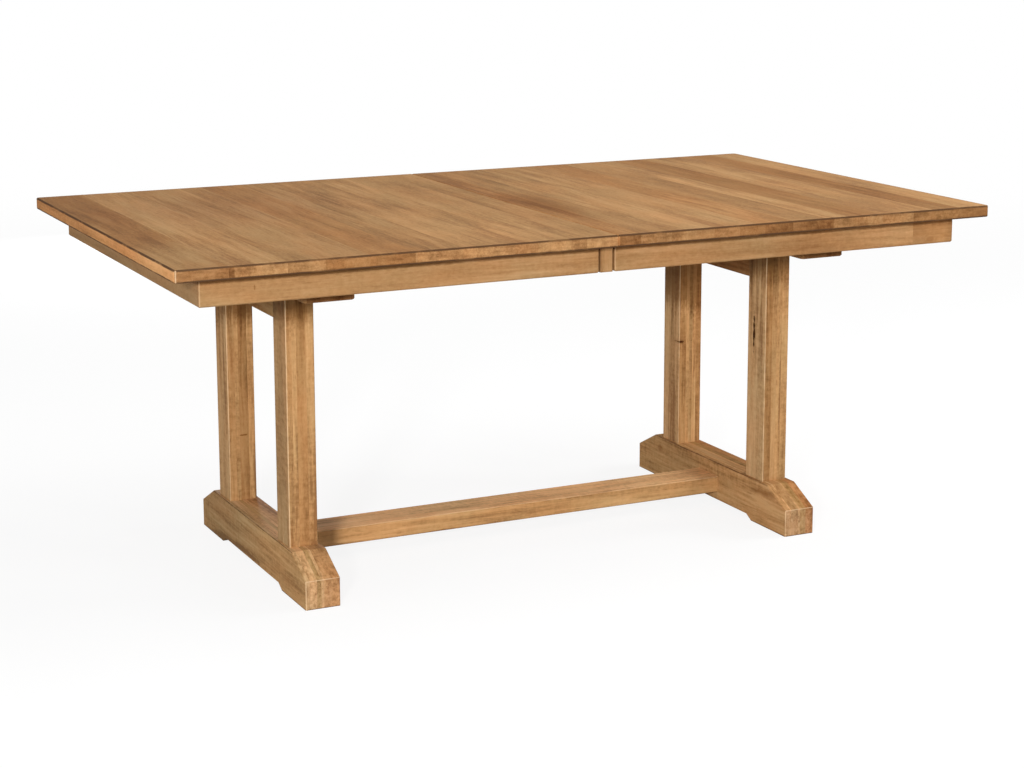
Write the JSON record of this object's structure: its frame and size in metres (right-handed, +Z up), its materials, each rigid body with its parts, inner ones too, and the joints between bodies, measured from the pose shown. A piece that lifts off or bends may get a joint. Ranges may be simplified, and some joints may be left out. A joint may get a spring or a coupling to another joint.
{
  "type": "dining table",
  "caption": "Rectangular extension dining table with a split top that slides apart on geared wooden slides, over a stationary trestle base with a low stretcher.",
  "frame": {"origin": "on the floor, under the middle of the table", "axes": "+X along the length to the right as seen from the front, +Y to the rear, +Z up"},
  "size_m": [1.829, 1.05, 0.749],
  "materials": {
    "top_wood": "satin stained and lacquered hardwood boards, grain across the table",
    "apron_wood": "satin stained and lacquered hardwood",
    "base_wood": "satin stained and lacquered hardwood",
    "inner_wood": "planed hardwood, lightly sealed",
    "gear_nylon": "moulded nylon",
    "hardware_steel": "zinc plated steel"
  },
  "bodies": {
    "base": {"cross_rail": "inner_wood", "cross_rail_screws": "hardware_steel", "fixed_rail_screws": "hardware_steel", "front_arm": "inner_wood", "front_centre_block": "apron_wood", "front_fixed_rail": "inner_wood", "front_pinion_axle": "hardware_steel", "lag_screws": "hardware_steel", "lag_washers": "hardware_steel", "left_foot": "base_wood", "left_front_post": "base_wood", "left_rear_post": "base_wood", "left_top_plate": "base_wood", "left_upper_rail": "base_wood", "rear_arm": "inner_wood", "rear_centre_block": "apron_wood", "rear_fixed_rail": "inner_wood", "rear_pinion_axle": "hardware_steel", "right_foot": "base_wood", "right_front_post": "base_wood", "right_rear_post": "base_wood", "right_top_plate": "base_wood", "right_upper_rail": "base_wood", "stretcher": "base_wood"},
    "left_half": {"left_corner_blocks": "inner_wood", "left_end_apron": "apron_wood", "left_front_apron": "apron_wood", "left_front_rack": "gear_nylon", "left_front_runner": "inner_wood", "left_glue_blocks": "inner_wood", "left_lock_studs": "hardware_steel", "left_rear_apron": "apron_wood", "left_rear_rack": "gear_nylon", "left_rear_runner": "inner_wood", "left_runner_screws": "hardware_steel", "left_top_boards": "top_wood"},
    "right_half": {"alignment_pins": "inner_wood", "right_corner_blocks": "inner_wood", "right_end_apron": "apron_wood", "right_front_apron": "apron_wood", "right_front_rack": "gear_nylon", "right_front_runner": "inner_wood", "right_glue_blocks": "inner_wood", "right_lock_studs": "hardware_steel", "right_rear_apron": "apron_wood", "right_rear_rack": "gear_nylon", "right_rear_runner": "inner_wood", "right_runner_screws": "hardware_steel", "right_top_boards": "top_wood"},
    "front_pinion": {"front_pinion": "gear_nylon"},
    "rear_pinion": {"rear_pinion": "gear_nylon"},
    "front_lock_lever": {"front_lock_lever": "hardware_steel"},
    "rear_lock_lever": {"rear_lock_lever": "hardware_steel"}
  },
  "joints": [
    {"name": "left_half_slide", "type": "slide", "parent": "base", "child": "left_half", "axis": [-1, 0, 0], "range_m": [0, 0.457]},
    {"name": "right_half_slide", "type": "slide", "parent": "base", "child": "right_half", "axis": [1, 0, 0], "range_m": [0, 0.457]},
    {"name": "front_pinion_turn", "type": "hinge", "parent": "base", "child": "front_pinion", "pos_m": [0, -0.23, 0.7], "axis": [0, 0, -1], "range_deg": [0, 1092]},
    {"name": "rear_pinion_turn", "type": "hinge", "parent": "base", "child": "rear_pinion", "pos_m": [0, 0.23, 0.7], "axis": [0, 0, -1], "range_deg": [0, 1092]},
    {"name": "front_lock_turn", "type": "hinge", "parent": "right_half", "child": "front_lock_lever", "pos_m": [0.02, -0.1, 0.7218], "axis": [0, 0, -1], "range_deg": [0, 100]},
    {"name": "rear_lock_turn", "type": "hinge", "parent": "right_half", "child": "rear_lock_lever", "pos_m": [0.02, 0.1, 0.7218], "axis": [0, 0, -1], "range_deg": [0, 100]}
  ],
  "couplings": [
    {"joint": "right_half_slide", "follows": "left_half_slide", "ratio": 1},
    {"joint": "front_pinion_turn", "follows": "left_half_slide", "rad_per_m": 41.667},
    {"joint": "rear_pinion_turn", "follows": "left_half_slide", "rad_per_m": 41.667}
  ]
}
